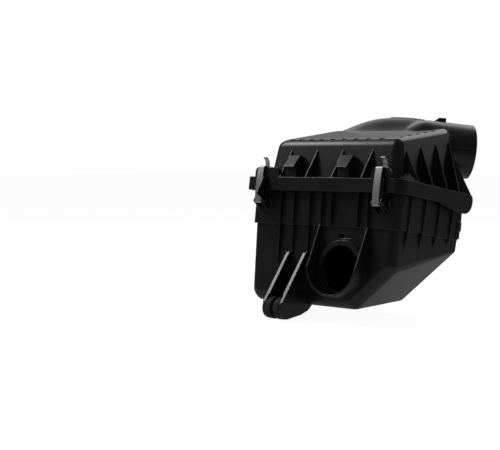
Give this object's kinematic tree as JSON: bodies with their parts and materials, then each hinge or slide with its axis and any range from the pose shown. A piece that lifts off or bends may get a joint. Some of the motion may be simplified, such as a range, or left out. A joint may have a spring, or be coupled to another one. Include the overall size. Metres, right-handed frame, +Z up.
{
  "type": "air filter housing",
  "caption": "Two-part moulded air filter housing with a hinged, clipped cover, a panel filter inside, a scooped inlet, an angled outlet neck and rubber-mounted brackets.",
  "frame": {"origin": "on the level underside of the lower case, straight below the centre of the parting plane", "axes": "+X to the right along the front, +Y to the back, +Z up; the floor is level and the parting plane leans 8.75 degrees about X, its back edge lower"},
  "size_m": [0.27, 0.2821, 0.2769],
  "materials": {
    "black_plastic": "fine moulded grain, soft sheen",
    "filter_paper": "resin-treated pleated paper",
    "filter_board": "dull fibre board",
    "black_rubber": "matt",
    "hot_glue": "waxy",
    "spring_steel": "bright, brushed along the strap",
    "zinc_steel": "dull zinc plate"
  },
  "bodies": {
    "case": {"lower_case": "black_plastic", "filter_media": "filter_paper", "filter_frame": "filter_board", "filter_seal": "black_rubber", "filter_glue_bead_1": "hot_glue", "filter_glue_bead_2": "hot_glue", "filter_glue_bead_3": "hot_glue", "filter_glue_bead_4": "hot_glue", "clip_left_pin": "zinc_steel", "clip_right_pin": "zinc_steel", "front_mount_grommet": "black_rubber", "front_mount_sleeve": "zinc_steel", "rear_left_mount_grommet": "black_rubber", "rear_left_mount_sleeve": "zinc_steel", "rear_right_mount_grommet": "black_rubber", "rear_right_mount_sleeve": "zinc_steel"},
    "cover": {"upper_cover": "black_plastic"},
    "left_clip": {"clip_left": "spring_steel"},
    "right_clip": {"clip_right": "spring_steel"}
  },
  "joints": [
    {"name": "cover_hinge", "type": "hinge", "parent": "case", "child": "cover", "pos_m": [0, 0.0704, 0.14216], "axis": [-1, 0, 0], "range_deg": [0, 45]},
    {"name": "clip_left_swing", "type": "hinge", "parent": "case", "child": "left_clip", "pos_m": [-0.11, -0.08709, 0.14111], "axis": [1, 0, 0], "range_deg": [0, 126]},
    {"name": "clip_right_swing", "type": "hinge", "parent": "case", "child": "right_clip", "pos_m": [0.099, -0.08709, 0.14111], "axis": [1, 0, 0], "range_deg": [0, 126]}
  ],
  "couplings": [
    {"joint": "clip_left_swing", "follows": "cover_hinge", "ratio": 2.8},
    {"joint": "clip_right_swing", "follows": "cover_hinge", "ratio": 2.8}
  ]
}
